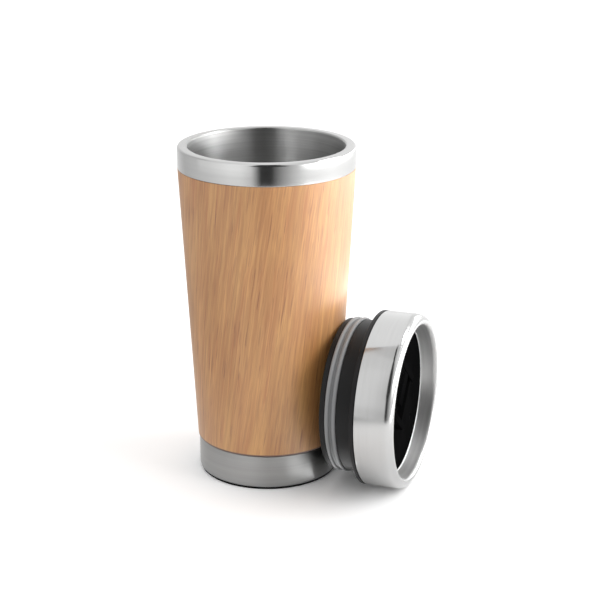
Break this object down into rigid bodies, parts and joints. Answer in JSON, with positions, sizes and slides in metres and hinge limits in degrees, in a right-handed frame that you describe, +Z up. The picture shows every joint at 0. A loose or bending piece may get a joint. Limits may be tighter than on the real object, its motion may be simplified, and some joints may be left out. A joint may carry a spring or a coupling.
{
  "type": "travel mug",
  "caption": "Tapered double-wall steel travel mug in a bamboo sleeve; its press-in lid of steel and black plastic, with a sip slider, stands beside it.",
  "frame": {"origin": "centre of the underside of the foot pad, on the mug's axis, where the mug stands", "axes": "+Z up along the mug's axis; +X from the mug's axis towards the lid, which is also the way the lid's top faces"},
  "size_m": [0.1231, 0.088, 0.1693],
  "materials": {
    "polished_steel": "polished outside, turned inside",
    "satin_steel": "satin",
    "plain_steel": "mill",
    "bamboo": "clear matt lacquer",
    "black_plastic": "satin moulded",
    "clear_silicone": "translucent satin",
    "foot_rubber": "matt"
  },
  "bodies": {
    "mug": {"inner_cup": "polished_steel", "outer_shell": "plain_steel", "shell_floor": "plain_steel", "bamboo_sleeve": "bamboo", "base_cup": "satin_steel", "foot_pad": "foot_rubber"},
    "lid": {"lid_ring": "satin_steel", "lid_body": "black_plastic", "lid_gasket": "clear_silicone"},
    "slider": {"drink_slider": "black_plastic", "slider_seal": "clear_silicone"}
  },
  "joints": [
    {"name": "lid_swing", "type": "hinge", "parent": "mug", "child": "lid", "pos_m": [-0.09229, 0, 0.13629], "axis": [0, -1, 0], "range_deg": [0, 90]},
    {"name": "sip_slide", "type": "slide", "parent": "lid", "child": "slider", "axis": [0, 0.766, -0.6428], "range_m": [0, 0.013]}
  ]
}
